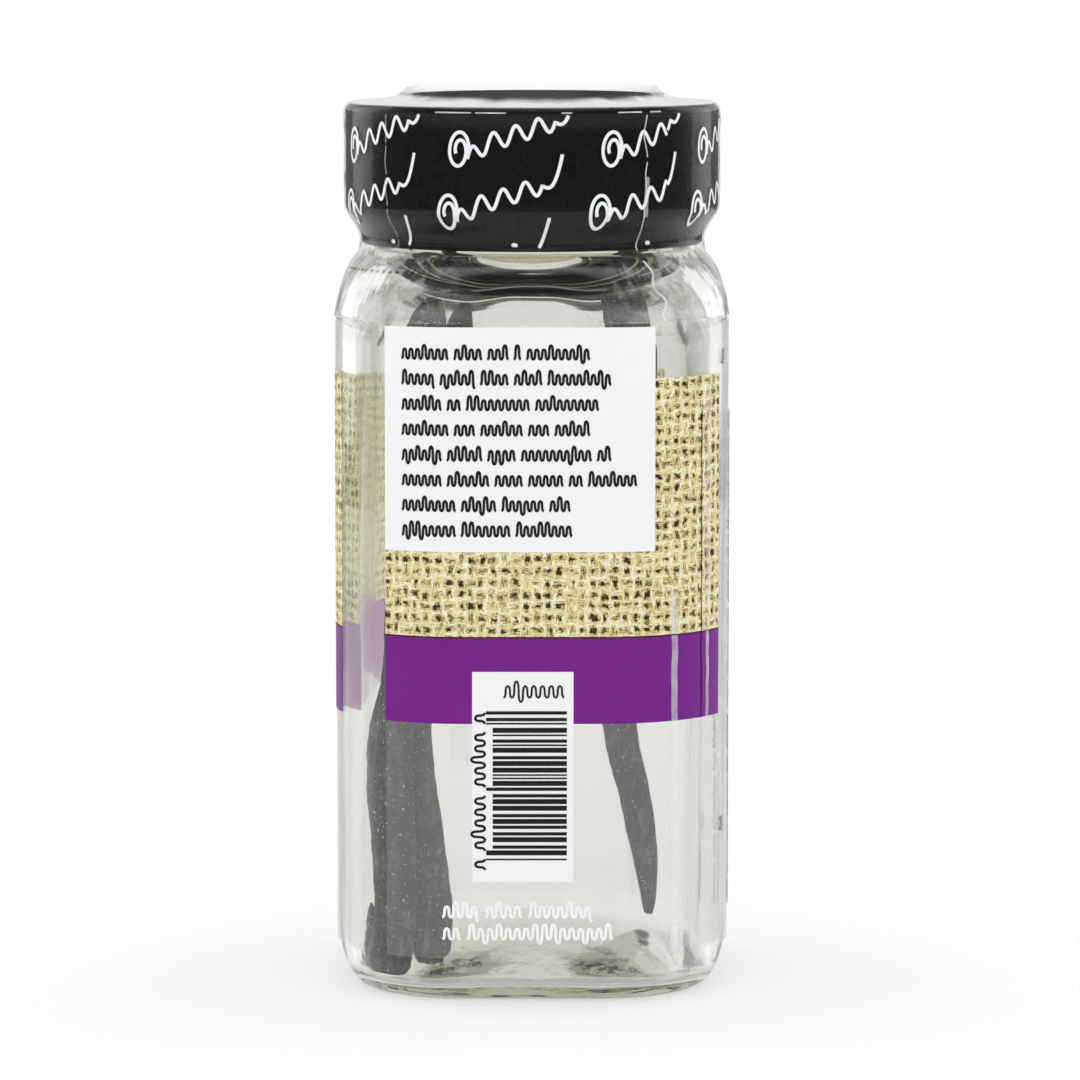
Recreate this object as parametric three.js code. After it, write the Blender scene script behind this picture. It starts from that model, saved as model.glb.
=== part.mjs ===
// A shut square glass spice jar with vanilla pods inside: a clear jar, a black cap, a clear
// shrink band over cap and shoulder, and a printed wrap label.
// Millimetres, +Z up. The face with the text panel looks along -Y, +X is to its right, and the
// origin is the middle of the base.
import * as THREE from "three";

// Driving dimensions
const BODY_HALF = 23.1; // half the width of the square glass body
const BODY_CORNER = 15.2; // radius of its upright corners
const BODY_ROUND = 8 * (BODY_HALF - BODY_CORNER) + 2 * Math.PI * BODY_CORNER; // way round it
const WALL = 2.5;
const HEEL_HEIGHT = 8; // where the rounded foot of the body runs out into the wall
const HEEL_INSET = 3.6;
const SHOULDER_START = 78;
const SHOULDER_TOP = 87.3;
const NECK_RADIUS = 18.3;
const NECK_BORE = 15.2;
const NECK_TOP = 102.6;
const LEAN_START = 76; // where the inner wall starts to lean in
const LEAN_END = 84.2; // and where it runs out by the bore
const FLOOR_EDGE = 1.8; // height of the inner floor in its channel by the wall
const FLOOR_DOME = 6.6; // and in the middle, over the push-up
const FLOOR_FILLET = 1.6; // height of the rounding between floor and wall
const PUSH_UP = 2.4; // height of the hollow under the base

const CAP_BOTTOM = 87.9;
const SKIRT_RADIUS = 20.3;
const CAP_RADIUS = 22.2;
const TAPER_START = 88.9;
const TAPER_END = 92.3;
const CAP_RIM = 104.5;
const CAP_EDGE = 0.8; // rounding of the cap's top edge
const DISC_RADIUS = 14.4; // raised disc on the cap
const DISC_TOP = 105.6;
const CAP_BORE = 18.7;
const CAP_WALL = 1.7;

const BAND_GAP = 0.12; // shrink band to cap and glass
const BAND_THICKNESS = 0.15;
const BAND_END = 79.75;
const BAND_LIP = 106.3; // free upper edge of the band, standing up round the raised disc

const LABEL_GAP = 0.08; // clear label film to glass
const LABEL_THICKNESS = 0.1;
const PRINT_GAP = 0.05; // printed fields to the label film
const PRINT_THICKNESS = 0.1;
const FIELD_JOINT = 0.1; // clear line between neighbouring fields

// The label, as distances round the body from the middle of the text side (+ to its right)
const LABEL_START = -17.6;
const LABEL_END = 132.2;
const LABEL_BOTTOM = 5.5;
const LABEL_TOP = 79.4;
const PANEL_RIGHT = 14.35;
const FRONT_PRINT_END = 25.3;
const BACK_PRINT_START = 56.4;
const PANEL_BOTTOM = 53.3;
const WEAVE_TOP = 73.4;
const BAND_TOP = 43.3; // purple band
const BAND_BOTTOM = 33.2;
const CODE_LEFT = -6.9; // barcode panel
const CODE_RIGHT = 4.75;
const CODE_BOTTOM = 14.6;
const CODE_TOP = 39.3;

const AROUND = 52; // facets round the jar, the cap, the shrink band and the label
const ARC_STEPS = 6;

const GLASS = material("#e6eae2", 0.05, 0, 0.35);
const FILM = material("#f0f2f0", 0.15, 0, 0.3);
const CAP_BLACK = material("#161616", 0.25, 0);
const WEAVE = material("#c5ba90", 0.8, 0);
const PURPLE = material("#742c86", 0.35, 0);
const WHITE = material("#f2f3f2", 0.45, 0);
const POD = material("#2c2422", 0.6, 0);

function material(color, roughness, metalness, opacity = 1) {
  return new THREE.MeshStandardMaterial({ color, roughness, metalness, opacity, transparent: opacity < 1 });
}

// Point at a share of the way round a square with round corners, from the middle of its -Y side
// towards +X. With the corner radius equal to half the width it is a circle.
function loopPoint(share, half, corner) {
  const flat = half - corner;
  const arc = (corner * Math.PI) / 2;
  const side = 2 * flat + arc;
  const along = (((share % 1) + 1) % 1) * 4 * side;
  const quarter = Math.floor(along / side) % 4;
  const rest = along - quarter * side;
  let x = half;
  let y = rest - flat - arc - flat;
  if (rest < flat) {
    x = rest;
    y = -half;
  } else if (rest < flat + arc) {
    const turn = (rest - flat) / corner;
    x = flat + corner * Math.sin(turn);
    y = -flat - corner * Math.cos(turn);
  }
  const spin = (quarter * Math.PI) / 2;
  return [x * Math.cos(spin) - y * Math.sin(spin), x * Math.sin(spin) + y * Math.cos(spin)];
}

// Point on the facets that join such points, so that a sheet lies flat on what it covers
function facetPoint(share, half, corner) {
  const facet = Math.floor(share * AROUND);
  const [x0, y0] = loopPoint(facet / AROUND, half, corner);
  const [x1, y1] = loopPoint((facet + 1) / AROUND, half, corner);
  const rest = share * AROUND - facet;
  return [THREE.MathUtils.lerp(x0, x1, rest), THREE.MathUtils.lerp(y0, y1, rest)];
}

// A ring of a loft: half width, corner radius and height
function ring(half, z, corner = half) {
  return { half, corner, z };
}

// Rings on a quarter ellipse from one ring to another. It leaves the first one sideways, or
// upright where rises is true.
function bend(from, to, rises, steps = ARC_STEPS) {
  const rings = [];
  for (let i = 0; i <= steps; i++) {
    const turn = (i / steps) * (Math.PI / 2);
    const early = Math.sin(turn);
    const late = 1 - Math.cos(turn);
    const side = rises ? late : early;
    const height = rises ? early : late;
    rings.push(
      ring(
        THREE.MathUtils.lerp(from.half, to.half, side),
        THREE.MathUtils.lerp(from.z, to.z, height),
        THREE.MathUtils.lerp(from.corner, to.corner, side),
      ),
    );
  }
  return rings;
}

function geometryOf(points, faces) {
  const geometry = new THREE.BufferGeometry();
  geometry.setAttribute("position", new THREE.Float32BufferAttribute(points.flat(), 3));
  geometry.setIndex(faces.flat());
  geometry.computeVertexNormals();
  return geometry;
}

// Closed solid through rings given in the order that has the material on the left of the way
// up. It ends in a point on the axis at both ends, or runs back to its first ring.
function loft(rings, poles) {
  const points = [];
  const faces = [];
  for (const { half, corner, z } of rings)
    for (let i = 0; i < AROUND; i++) points.push([...loopPoint(i / AROUND, half, corner), z]);
  const spans = poles ? rings.length - 1 : rings.length;
  for (let r = 0; r < spans; r++)
    for (let i = 0; i < AROUND; i++) {
      const next = (i + 1) % AROUND;
      const low = r * AROUND;
      const high = ((r + 1) % rings.length) * AROUND;
      faces.push([low + i, low + next, high + next], [low + i, high + next, high + i]);
    }
  if (poles) {
    const last = (rings.length - 1) * AROUND;
    const start = points.push([0, 0, poles[0]]) - 1;
    const end = points.push([0, 0, poles[1]]) - 1;
    for (let i = 0; i < AROUND; i++) {
      const next = (i + 1) % AROUND;
      faces.push([start, next, i], [end, last + i, last + next]);
    }
  }
  return geometryOf(points, faces);
}

function bodyRing(z, offset = 0) {
  return ring(BODY_HALF + offset, z, BODY_CORNER + offset);
}

// Outer shoulder, from the top of the straight wall in to a circle by the neck
function shoulder(offset = 0) {
  const top = ring(NECK_RADIUS + 0.5 + offset, SHOULDER_TOP + offset);
  return bend(bodyRing(SHOULDER_START, offset), top, true, 8);
}

// Inner shoulder, from the bore down to the straight wall
function innerShoulder() {
  const top = ring(NECK_BORE + 0.6, LEAN_END);
  const inner = bend(bodyRing(LEAN_START, -WALL), top, true).reverse();
  return [ring(NECK_BORE, LEAN_END + 1.8), ring(NECK_BORE + 0.2, LEAN_END + 0.7), ...inner];
}

function glassJar() {
  const foot = ring(BODY_HALF - HEEL_INSET, 0, BODY_CORNER - HEEL_INSET);
  const ringWidth = 1.8;
  const lip = 0.5;
  const floorEdge = ring(19.2, FLOOR_EDGE, 11.5);
  return loft(
    [
      ring(8, PUSH_UP - 0.3),
      ring(13, PUSH_UP * 0.55, 10),
      ring(foot.half - ringWidth - 0.8, 0.35, foot.corner - ringWidth),
      ring(foot.half - ringWidth, 0, foot.corner - ringWidth),
      ...bend(foot, bodyRing(HEEL_HEIGHT), false),
      ...shoulder(),
      ring(NECK_RADIUS, SHOULDER_TOP + 0.3),
      ring(NECK_RADIUS, NECK_TOP - lip),
      ring(NECK_RADIUS - lip, NECK_TOP),
      ring(NECK_BORE + lip, NECK_TOP),
      ring(NECK_BORE, NECK_TOP - lip),
      ...innerShoulder(),
      ...bend(bodyRing(FLOOR_EDGE + FLOOR_FILLET, -WALL), floorEdge, true, 3),
      ring(15, FLOOR_EDGE + 1.2, 11),
      ring(9.5, FLOOR_DOME - 1.2, 9),
      ring(5, FLOOR_DOME - 0.3),
    ],
    [PUSH_UP, FLOOR_DOME],
  );
}

// Round the top edge of the cap, from its side to its top, or of a film that lies over it
function capEdge(radius, top, rounding) {
  return bend(ring(radius, top - rounding), ring(radius - rounding, top), true, 3);
}

function cap() {
  const innerTop = NECK_TOP + 0.5;
  const innerWide = CAP_RADIUS - CAP_WALL;
  return loft(
    [
      ring(6, innerTop),
      ring(innerWide, innerTop),
      ring(innerWide, TAPER_END + 1.6),
      ring(CAP_BORE, TAPER_START + 1.4),
      ring(CAP_BORE, CAP_BOTTOM),
      ring(SKIRT_RADIUS - 0.2, CAP_BOTTOM),
      ring(SKIRT_RADIUS, CAP_BOTTOM + 0.2),
      ring(SKIRT_RADIUS, TAPER_START),
      ring(SKIRT_RADIUS + 0.5, TAPER_START + 1.1),
      ring(CAP_RADIUS - 0.4, TAPER_END - 0.8),
      ring(CAP_RADIUS, TAPER_END),
      ...capEdge(CAP_RADIUS, CAP_RIM, CAP_EDGE),
      ring(DISC_RADIUS + 0.3, CAP_RIM),
      ring(DISC_RADIUS, CAP_RIM + 0.3),
      ring(DISC_RADIUS, DISC_TOP - 0.2),
      ring(DISC_RADIUS - 0.2, DISC_TOP),
    ],
    [innerTop, DISC_TOP],
  );
}

// Way of the shrink band at a distance off cap and glass, from its end on the shoulder up
function bandWay(offset) {
  const skirt = SKIRT_RADIUS + offset;
  const wide = CAP_RADIUS + offset;
  const onGlass = shoulder(offset).filter((r) => r.z > BAND_END && r.half > skirt);
  return [
    ring(BODY_HALF + offset - 0.03, BAND_END, BODY_CORNER + offset),
    ...onGlass,
    ring(skirt, CAP_BOTTOM + 0.6),
    ring(skirt, TAPER_START),
    ring(skirt + 0.5, TAPER_START + 1.1),
    ring(wide - 0.4, TAPER_END - 0.8),
    ring(wide, TAPER_END),
    ...capEdge(wide, CAP_RIM + offset, CAP_EDGE + offset),
    ring(18.4, CAP_RIM + offset + 0.15),
    ring(16.4, CAP_RIM + offset + 0.6),
    ring(DISC_RADIUS + offset + 0.25, BAND_LIP),
  ];
}

function shrinkBand() {
  const inside = bandWay(BAND_GAP);
  const outside = bandWay(BAND_GAP + BAND_THICKNESS);
  return loft([...outside, ...inside.reverse()]);
}

// Distances round the body at which a sheet bends: its own edges and the facets between them
function bends(...edges) {
  const facet = BODY_ROUND / AROUND;
  const first = Math.ceil(edges[0] / facet);
  const count = Math.ceil(edges.at(-1) / facet) - first;
  const onFacets = Array.from({ length: count }, (_, i) => (first + i) * facet);
  const clear = onFacets.filter((way) => edges.every((edge) => Math.abs(edge - way) > 0.05));
  return [...edges, ...clear].sort((a, b) => a - b);
}

// Thin closed sheet bent round the body: the rows and columns cut it into cells, and the cells
// that isKept picks (by the middle of each) are there.
function skin(columns, rows, gap, thickness, isKept = () => true) {
  const points = [];
  const faces = [];
  for (const offset of [gap, gap + thickness])
    for (const z of rows)
      for (const way of columns)
        points.push([...facetPoint(way / BODY_ROUND, BODY_HALF + offset, BODY_CORNER + offset), z]);
  const layer = rows.length * columns.length;
  const at = (row, column, side) => side * layer + row * columns.length + column;
  const kept = (row, column) =>
    row >= 0 &&
    column >= 0 &&
    row < rows.length - 1 &&
    column < columns.length - 1 &&
    isKept((columns[column] + columns[column + 1]) / 2, (rows[row] + rows[row + 1]) / 2);
  const quad = (a, b, c, d) => faces.push([a, b, c], [a, c, d]);
  const wall = (r0, c0, r1, c1) => quad(at(r0, c0, 0), at(r1, c1, 0), at(r1, c1, 1), at(r0, c0, 1));
  for (let r = 0; r < rows.length - 1; r++)
    for (let c = 0; c < columns.length - 1; c++) {
      if (!kept(r, c)) continue;
      quad(at(r, c, 1), at(r, c + 1, 1), at(r + 1, c + 1, 1), at(r + 1, c, 1));
      quad(at(r, c, 0), at(r + 1, c, 0), at(r + 1, c + 1, 0), at(r, c + 1, 0));
      if (!kept(r - 1, c)) wall(r, c, r, c + 1);
      if (!kept(r + 1, c)) wall(r + 1, c + 1, r + 1, c);
      if (!kept(r, c - 1)) wall(r + 1, c, r, c);
      if (!kept(r, c + 1)) wall(r, c + 1, r + 1, c + 1);
    }
  return geometryOf(points, faces);
}

function labelFilm() {
  return skin(bends(LABEL_START, LABEL_END), [LABEL_BOTTOM, LABEL_TOP], LABEL_GAP, LABEL_THICKNESS);
}

function printField(columns, rows, isKept) {
  return skin(columns, rows, LABEL_GAP + LABEL_THICKNESS + PRINT_GAP, PRINT_THICKNESS, isKept);
}

// Woven ground right of the text panel and in a strip below it
function frontWeave() {
  const columns = bends(LABEL_START, PANEL_RIGHT + FIELD_JOINT, FRONT_PRINT_END);
  const rows = [BAND_TOP + FIELD_JOINT, PANEL_BOTTOM - FIELD_JOINT, WEAVE_TOP];
  return printField(columns, rows, (way, z) => z < PANEL_BOTTOM || way > PANEL_RIGHT);
}

// Purple band with a notch for the barcode panel that stands up into it
function frontBand() {
  const left = CODE_LEFT - FIELD_JOINT;
  const right = CODE_RIGHT + FIELD_JOINT;
  const columns = bends(LABEL_START, left, right, FRONT_PRINT_END);
  const notchTop = CODE_TOP + FIELD_JOINT;
  const rows = [BAND_BOTTOM, notchTop, BAND_TOP];
  return printField(columns, rows, (way, z) => z > notchTop || way < left || way > right);
}

function plainField(start, end, bottom, top) {
  return printField(bends(start, end), [bottom, top]);
}

// One dried pod: a flattened, ridged rod that follows a curve, thickest by the middle and
// tapered to blunt ends. Swell and twist make each pod uneven in its own way.
function pod({ way, width, depth, footTaper, topTaper, swell, twist, steps = 32 }) {
  const sides = 10;
  const curve = new THREE.CatmullRomCurve3(way.map((p) => new THREE.Vector3(...p)));
  const frames = curve.computeFrenetFrames(steps, false);
  const across = new THREE.Vector3(1, 0, 0);
  const points = [];
  const faces = [];
  for (let s = 0; s <= steps; s++) {
    const share = s / steps;
    const centre = curve.getPointAt(share);
    const along = frames.tangents[s];
    const wide = across.clone().addScaledVector(along, -across.dot(along)).normalize();
    const deep = new THREE.Vector3().crossVectors(along, wide);
    const end = Math.min(1, (share + 0.012) / footTaper) ** 0.5 * Math.min(1, (1.012 - share) / topTaper) ** 0.6;
    const size = end * (1 + 0.07 * Math.sin(share * swell) + 0.04 * Math.sin(share * swell * 2.7 + 1));
    for (let i = 0; i < sides; i++) {
      const turn = (i / sides) * 2 * Math.PI;
      const ridge = 1 + 0.07 * Math.cos(3 * turn + share * twist) + 0.04 * Math.sin(5 * turn - share * twist);
      const x = (width / 2) * size * ridge * Math.cos(turn);
      const y = (depth / 2) * size * ridge * Math.sin(turn);
      points.push(centre.clone().addScaledVector(wide, x).addScaledVector(deep, y).toArray());
    }
  }
  for (let s = 0; s < steps; s++)
    for (let i = 0; i < sides; i++) {
      const next = (i + 1) % sides;
      const low = s * sides;
      const high = low + sides;
      faces.push([low + i, low + next, high + next], [low + i, high + next, high + i]);
    }
  const foot = points.push(curve.getPointAt(0).toArray()) - 1;
  const top = points.push(curve.getPointAt(1).toArray()) - 1;
  for (let i = 0; i < sides; i++) {
    const next = (i + 1) % sides;
    faces.push([foot, next, i], [top, steps * sides + i, steps * sides + next]);
  }
  return geometryOf(points, faces);
}

const PODS = {
  pod_left: {
    way: [
      [-17, -12.8, 2.6],
      [-15.9, -13.4, 9],
      [-16, -13.3, 16],
      [-16.3, -12.8, 29],
      [-14.9, -11.6, 41],
      [-14.5, -9.6, 58],
      [-13.9, -7.6, 76],
      [-12.7, -6, 84.3],
    ],
    width: 4.4,
    depth: 3.6,
    footTaper: 0.03,
    topTaper: 0.09,
    swell: 9,
    twist: 5,
  },
  pod_middle: {
    way: [
      [-12.2, -12, 4],
      [-12, -10, 9.5],
      [-12.8, -9.5, 16],
      [-14, -8.4, 29],
      [-12.9, -7.3, 41],
      [-11.4, -5.2, 58],
      [-10.2, -2.4, 84.6],
    ],
    width: 4.2,
    depth: 3.2,
    footTaper: 0.025,
    topTaper: 0.08,
    swell: 11,
    twist: -6,
  },
  pod_right: {
    way: [
      [14.7, 13.6, 4.7],
      [15, 13.2, 7.5],
      [14.5, 12.4, 12.5],
      [13, 11.6, 19.5],
      [11, 10.6, 27.6],
      [10.1, 8.4, 40],
      [12, 4.8, 57],
      [14, 1.4, 73],
      [13.2, 0.4, 80.5],
      [12.1, -0.3, 90],
    ],
    width: 4.1,
    depth: 3,
    footTaper: 0.27,
    topTaper: 0.05,
    swell: 8,
    twist: 7,
  },
  pod_tip: {
    way: [
      [-18.8, -9.1, 3],
      [-19, -9, 6.2],
      [-19.3, -8.6, 9.6],
    ],
    width: 2.2,
    depth: 2.2,
    footTaper: 0.2,
    topTaper: 0.8,
    swell: 3,
    twist: 2,
    steps: 10,
  },
};

const jar = new THREE.Group();

function add(name, geometry, look) {
  const mesh = new THREE.Mesh(geometry, look);
  mesh.name = name;
  jar.add(mesh);
}

add("glass_jar", glassJar(), GLASS);
add("cap", cap(), CAP_BLACK);
add("shrink_band", shrinkBand(), FILM);
add("label_film", labelFilm(), FILM);
add("label_text_panel", plainField(LABEL_START, PANEL_RIGHT, PANEL_BOTTOM, LABEL_TOP), WHITE);
add("label_barcode_panel", plainField(CODE_LEFT, CODE_RIGHT, CODE_BOTTOM, CODE_TOP), WHITE);
add("label_weave_front", frontWeave(), WEAVE);
add("label_band_front", frontBand(), PURPLE);
add("label_weave_back", plainField(BACK_PRINT_START, LABEL_END, BAND_TOP + FIELD_JOINT, WEAVE_TOP), WEAVE);
add("label_band_back", plainField(BACK_PRINT_START, LABEL_END, BAND_BOTTOM, BAND_TOP), PURPLE);
for (const [name, shape] of Object.entries(PODS)) add(name, pod(shape), POD);

export default jar;
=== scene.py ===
"""A shut square spice jar of vanilla pods: clear glass, black cap, shrink band and wrap label.

Sizes are in millimetres, as in the CAD source, and are turned into metres where a mesh is made.
The text side looks along -Y, +X is to its right, and the origin is the middle of the base.
"""

import math
import random

import bpy
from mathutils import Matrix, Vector, noise


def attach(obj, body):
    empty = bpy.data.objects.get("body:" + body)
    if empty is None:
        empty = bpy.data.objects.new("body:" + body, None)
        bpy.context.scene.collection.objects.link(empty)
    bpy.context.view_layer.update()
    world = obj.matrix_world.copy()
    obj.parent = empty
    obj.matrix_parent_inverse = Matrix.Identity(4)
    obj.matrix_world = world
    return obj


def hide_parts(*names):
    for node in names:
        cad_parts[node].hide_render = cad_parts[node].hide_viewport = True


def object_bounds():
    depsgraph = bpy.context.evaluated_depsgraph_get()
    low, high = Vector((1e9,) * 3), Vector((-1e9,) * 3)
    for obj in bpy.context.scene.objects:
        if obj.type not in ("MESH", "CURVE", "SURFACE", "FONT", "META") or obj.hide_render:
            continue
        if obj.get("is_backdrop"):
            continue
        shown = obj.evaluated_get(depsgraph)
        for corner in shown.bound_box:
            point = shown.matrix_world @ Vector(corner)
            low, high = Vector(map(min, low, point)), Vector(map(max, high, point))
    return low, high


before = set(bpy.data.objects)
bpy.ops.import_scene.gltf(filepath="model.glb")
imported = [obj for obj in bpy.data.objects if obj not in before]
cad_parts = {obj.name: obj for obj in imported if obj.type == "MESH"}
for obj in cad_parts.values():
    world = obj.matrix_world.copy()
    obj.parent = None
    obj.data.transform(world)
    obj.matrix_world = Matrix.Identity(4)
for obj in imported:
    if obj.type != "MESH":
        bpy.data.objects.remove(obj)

CAD_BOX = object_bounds()
MM = 0.001

# Glass body
BODY_HALF = 23.1
BODY_CORNER = 15.2
BODY_ROUND = 8 * (BODY_HALF - BODY_CORNER) + 2 * math.pi * BODY_CORNER
WALL = 2.5
HEEL_HEIGHT = 8.0
HEEL_INSET = 3.6
SHOULDER_START = 78.0
SHOULDER_TOP = 87.3
NECK_RADIUS = 18.3
NECK_BORE = 15.2
NECK_TOP = 102.6
LEAN_START = 76.0  # where the inner wall starts to lean in
LEAN_END = 84.2  # and where it runs out by the bore
ROUNDER_START = 50.0  # where the inner wall's corners start to get rounder
ROUNDEST = 16.0
FLOOR_EDGE = 1.8
FLOOR_DOME = 6.6
FLOOR_FILLET = 1.6
FLOOR_ROUND = 20.4  # reach of the dome from the jar's axis
PUSH_UP = 3.3
FLOOR_RINGS = (18, 16.5, 15, 13, 11, 9, 7, 5, 3, 1.5)
FLOOR_WAVE, WALL_WAVE = 0.3, 0.16
WAVE_LENGTH = 9.0
WAVE_SEED = 5

# Cap
CAP_BOTTOM = 87.9
SKIRT_RADIUS = 20.3
CAP_RADIUS = 22.2
TAPER_START = 88.9
TAPER_END = 92.3
CAP_RIM = 104.5
CAP_EDGE = 0.8
DISC_RADIUS = 14.4
DISC_TOP = 105.6
CAP_BORE = 18.7
CAP_WALL = 1.7

# Shrink band
BAND_GAP = 0.12
BAND_THICKNESS = 0.1
BAND_END = 79.75
BAND_LIP = 106.3
FLAP_CLEAR = 105.3  # where the flap over the rim turns clear again

# Label, as distances round the body from the middle of the text side
LABEL_GAP = 0.06
LABEL_THICKNESS = 0.08
PRINT_GAP = 0.03
PRINT_THICKNESS = 0.06
LABEL_START = -17.6
LABEL_END = 132.2
LABEL_BOTTOM = 5.5
LABEL_TOP = 79.4
PANEL_RIGHT = 14.35
FRONT_PRINT_END = 25.3
BACK_PRINT_START = 56.4
PANEL_BOTTOM = 53.3
WEAVE_TOP = 73.4
PURPLE_TOP = 43.3
PURPLE_BOTTOM = 33.2
CODE_LEFT = -6.9
CODE_RIGHT = 4.75
CODE_BOTTOM = 14.6
CODE_TOP = 39.3

THREAD_PITCH = (1.28, 1.36)  # of the printed weave, across and up

AROUND = 176
ARC_STEPS = 14


# ---------------------------------------------------------------- shapes


def loop_point(share, half, corner):
    """Point at a share of the way round a square with round corners, from its -Y side's middle."""
    flat = half - corner
    arc = corner * math.pi / 2
    side = 2 * flat + arc
    along = (share % 1) * 4 * side
    quarter = int(along // side) % 4
    rest = along - quarter * side
    if rest < flat:
        x, y = rest, -half
    elif rest < flat + arc:
        turn = (rest - flat) / corner
        x, y = flat + corner * math.sin(turn), -flat - corner * math.cos(turn)
    else:
        x, y = half, rest - flat - arc - flat
    spin = quarter * math.pi / 2
    return x * math.cos(spin) - y * math.sin(spin), x * math.sin(spin) + y * math.cos(spin)


def ring(half, z, corner=None):
    return half, half if corner is None else corner, z


def body_ring(z, offset=0.0):
    return ring(BODY_HALF + offset, z, BODY_CORNER + offset)


def mix(a, b, share):
    return a + (b - a) * share


def bend(start, end, rises, steps=ARC_STEPS):
    """Rings on a quarter ellipse, which leaves the first ring upright where rises is true."""
    rings = []
    for i in range(steps + 1):
        turn = i / steps * math.pi / 2
        early, late = math.sin(turn), 1 - math.cos(turn)
        side, height = (late, early) if rises else (early, late)
        half, corner = mix(start[0], end[0], side), mix(start[1], end[1], side)
        rings.append((half, corner, mix(start[2], end[2], height)))
    return rings


def shoulder(offset=0.0, steps=20):
    top = ring(NECK_RADIUS + 0.5 + offset, SHOULDER_TOP + offset)
    return bend(body_ring(SHOULDER_START, offset), top, True, steps)


def new_piece(name, points, faces, materials, smooth=True, uvs=None, face_slots=None):
    """A mesh piece in metres from millimetre points, which rides with the jar."""
    mesh = bpy.data.meshes.new(name)
    mesh.from_pydata([(x * MM, y * MM, z * MM) for x, y, z in points], [], faces)
    for material in materials:
        mesh.materials.append(material)
    if face_slots:
        mesh.polygons.foreach_set("material_index", face_slots)
    if uvs:
        layer = mesh.uv_layers.new(name="UVMap")
        for loop in mesh.loops:
            layer.data[loop.index].uv = uvs[loop.vertex_index]
    mesh.polygons.foreach_set("use_smooth", [smooth] * len(mesh.polygons))
    mesh.update()
    piece = bpy.data.objects.new(name, mesh)
    bpy.context.scene.collection.objects.link(piece)
    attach(piece, "root")
    return piece


def tube_faces(rows, count, closed=False):
    """Faces through rows of points. Where closed, the last row runs back to the first. Otherwise
    two more points follow the rows, one for each end."""
    faces = []
    for row in range(rows if closed else rows - 1):
        low, high = row * count, (row + 1) % rows * count
        for i in range(count):
            j = (i + 1) % count
            faces.append((low + i, low + j, high + j, high + i))
    if not closed:
        start, last = rows * count, (rows - 1) * count
        for i in range(count):
            j = (i + 1) % count
            faces += [(start, j, i), (start + 1, last + i, last + j)]
    return faces


def loft(rings, poles=()):
    """Points and faces of a closed solid through rings, which ends in a point on the axis at
    both ends, or runs back to its first ring."""
    points = []
    for half, corner, z in rings:
        points += [(*loop_point(i / AROUND, half, corner), z) for i in range(AROUND)]
    points += [(0, 0, z) for z in poles]
    return points, tube_faces(len(rings), AROUND, not poles)


def across_at(rings, z):
    """Half the width, and the corner radius, of what runs through rings at a height."""
    for low, high in zip(rings, rings[1:]):
        if low[2] <= z <= high[2] and high[2] > low[2]:
            rise = (z - low[2]) / (high[2] - low[2])
            return mix(low[0], high[0], rise), mix(low[1], high[1], rise)
    return rings[0][:2] if z < rings[0][2] else rings[-1][:2]


# ---------------------------------------------------------------- materials


class Nodes:
    """A node tree, with short ways to add and join its nodes."""

    def __init__(self, tree):
        self.tree = tree

    def node(self, kind, settings=None, **inputs):
        """An input is named as its socket is, or as i and its number. It is a socket or a value."""
        node = self.tree.nodes.new("ShaderNode" + kind)
        for name, value in (settings or {}).items():
            setattr(node, name, value)
        for name, value in inputs.items():
            socket = node.inputs[int(name[1:]) if name[1:].isdigit() else name.replace("_", " ")]
            if isinstance(value, bpy.types.NodeSocket):
                self.tree.links.new(value, socket)
            else:
                socket.default_value = value
        return node

    def first(self, kind, settings=None, **inputs):
        return self.node(kind, settings, **inputs).outputs[0]

    def place(self):
        """Where a point lies in the jar's frame, in metres."""
        return self.node("TexCoord").outputs["Object"]

    def maths(self, operation, *values):
        sockets = {f"i{n}": value for n, value in enumerate(values)}
        return self.first("Math", {"operation": operation}, **sockets)

    def times(self, a, b):
        return self.maths("MULTIPLY", a, b)

    def plus(self, a, b):
        return self.maths("ADD", a, b)

    def minus(self, a, b):
        return self.maths("SUBTRACT", a, b)

    def swing(self, noise, amount):
        """A noise as a swing to both sides of nothing."""
        return self.times(self.minus(noise, 0.5), amount)

    def span(self, value, low, high, start=0.0, end=1.0):
        """Runs from start to end while a value runs from low to high."""
        return self.first(
            "MapRange", Value=value, From_Min=low, From_Max=high, To_Min=start, To_Max=end
        )

    def ramp(self, factor, *stops):
        """Colours at places along a factor. A colour that is one number is a grey."""
        node = self.node("ValToRGB", Fac=factor)
        for place, colour in stops[2:]:
            node.color_ramp.elements.new(place)
        for element, (place, colour) in zip(node.color_ramp.elements, stops):
            element.position = place
            element.color = (*(colour if isinstance(colour, tuple) else (colour,) * 3), 1)
        return node.outputs["Color"]

    def pick(self, share, a, b, kind="RGBA", blend="MIX"):
        """a where the share is 0 and b where it is 1."""
        left, out = {"FLOAT": (2, 0), "VECTOR": (4, 1), "RGBA": (6, 2)}[kind]
        settings = {"data_type": kind, "blend_type": blend}
        sockets = {f"i{left}": a, f"i{left + 1}": b}
        return self.node("Mix", settings, Factor=share, **sockets).outputs[out]

    def noise(self, scale, detail=2.0, vector=None, roughness=0.5):
        inputs = {"Scale": scale, "Detail": detail, "Roughness": roughness}
        if vector is not None:
            inputs["Vector"] = vector
        return self.node("TexNoise", **inputs).outputs["Fac"]

    def stretched(self, vector, *scale):
        return self.first("Mapping", Vector=vector, Scale=scale)

    def bump(self, height, strength, distance):
        return self.first("Bump", Height=height, Strength=strength, Distance=distance)

    def blend(self, share, under, over):
        """Shader that is under where the share is 0 and over where it is 1."""
        return self.first("MixShader", Fac=share, i1=under, i2=over)


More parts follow.
